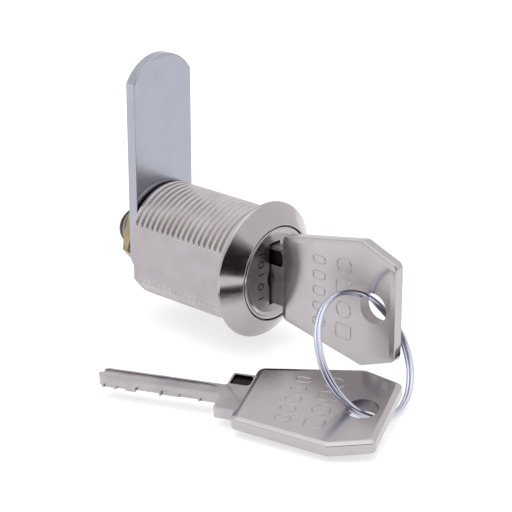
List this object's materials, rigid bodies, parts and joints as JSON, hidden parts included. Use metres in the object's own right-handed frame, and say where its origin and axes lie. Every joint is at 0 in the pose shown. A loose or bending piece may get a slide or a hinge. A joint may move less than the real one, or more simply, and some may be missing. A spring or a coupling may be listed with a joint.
{
  "type": "cam lock",
  "caption": "Panel cam lock with a threaded round body, flat straight cam, hex nut, and two flat keys on a split ring.",
  "frame": {"origin": "on the lock's axis, in the plane of the flange's seat face, where the front of the panel is", "axes": "+Y along the lock's axis from the key side to the cam, +Z along the cam as it stands locked"},
  "size_m": [0.0418, 0.067, 0.0438],
  "materials": {
    "nickel": "satin nickel plate",
    "bright_nickel": "polished",
    "zinc": "bright zinc plate",
    "passivated": "yellow passivated zinc plate",
    "brass": "machined",
    "key_metal": "satin nickel plate",
    "spring_steel": "bright"
  },
  "bodies": {
    "housing": {"housing": "nickel"},
    "plug": {"plug": "brass", "face_cap": "bright_nickel", "retaining_wafer": "brass", "retaining_spring": "spring_steel", "stop_washer": "zinc", "cam": "zinc", "lock_washer": "spring_steel", "hex_nut": "passivated", "wafer_spring_1": "spring_steel", "wafer_spring_2": "spring_steel", "wafer_spring_3": "spring_steel", "wafer_spring_4": "spring_steel", "wafer_spring_5": "spring_steel", "wafer_spring_6": "spring_steel"},
    "wafer_1": {"wafer_1": "brass"},
    "wafer_2": {"wafer_2": "brass"},
    "wafer_3": {"wafer_3": "brass"},
    "wafer_4": {"wafer_4": "brass"},
    "wafer_5": {"wafer_5": "brass"},
    "wafer_6": {"wafer_6": "brass"},
    "key": {"key_in_lock": "key_metal"},
    "ring": {"split_ring": "spring_steel"},
    "spare": {"spare_key": "key_metal"}
  },
  "joints": [
    {"name": "plug_turn", "type": "hinge", "parent": "housing", "child": "plug", "pos_m": [0, 0, 0], "axis": [0, 1, 0], "range_deg": [0, 90]},
    {"name": "key_slide", "type": "slide", "parent": "plug", "child": "key", "axis": [0, -1, 0], "range_m": [0, 0.022]},
    {"name": "wafer_1_lift", "type": "slide", "parent": "plug", "child": "wafer_1", "axis": [0, 0, 1], "range_m": [0, 0.0006], "deforming": ["wafer_spring_1"]},
    {"name": "wafer_2_lift", "type": "slide", "parent": "plug", "child": "wafer_2", "axis": [0, 0, -1], "range_m": [0, 0.0006], "deforming": ["wafer_spring_2"]},
    {"name": "wafer_3_lift", "type": "slide", "parent": "plug", "child": "wafer_3", "axis": [0, 0, 1], "range_m": [0, 0.0006], "deforming": ["wafer_spring_3"]},
    {"name": "wafer_4_lift", "type": "slide", "parent": "plug", "child": "wafer_4", "axis": [0, 0, -1], "range_m": [0, 0.0006], "deforming": ["wafer_spring_4"]},
    {"name": "wafer_5_lift", "type": "slide", "parent": "plug", "child": "wafer_5", "axis": [0, 0, 1], "range_m": [0, 0.0006], "deforming": ["wafer_spring_5"]},
    {"name": "wafer_6_lift", "type": "slide", "parent": "plug", "child": "wafer_6", "axis": [0, 0, -1], "range_m": [0, 0.0006], "deforming": ["wafer_spring_6"]},
    {"name": "ring_swing", "type": "hinge", "parent": "key", "child": "ring", "pos_m": [0, -0.02265, 0], "axis": [1, 0, 0], "range_deg": [-120, 20]},
    {"name": "spare_key_round_ring", "type": "hinge", "parent": "ring", "child": "spare", "pos_m": [-0.00764, -0.02628, -0.00415], "axis": [0.0798, -0.8265, 0.5573], "range_deg": [-30, 15]}
  ],
  "couplings": [
    {"joint": "wafer_1_lift", "follows": "key_slide", "ratio": 0.027273},
    {"joint": "wafer_2_lift", "follows": "key_slide", "ratio": 0.027273},
    {"joint": "wafer_3_lift", "follows": "key_slide", "ratio": 0.027273},
    {"joint": "wafer_4_lift", "follows": "key_slide", "ratio": 0.027273},
    {"joint": "wafer_5_lift", "follows": "key_slide", "ratio": 0.027273},
    {"joint": "wafer_6_lift", "follows": "key_slide", "ratio": 0.027273}
  ]
}
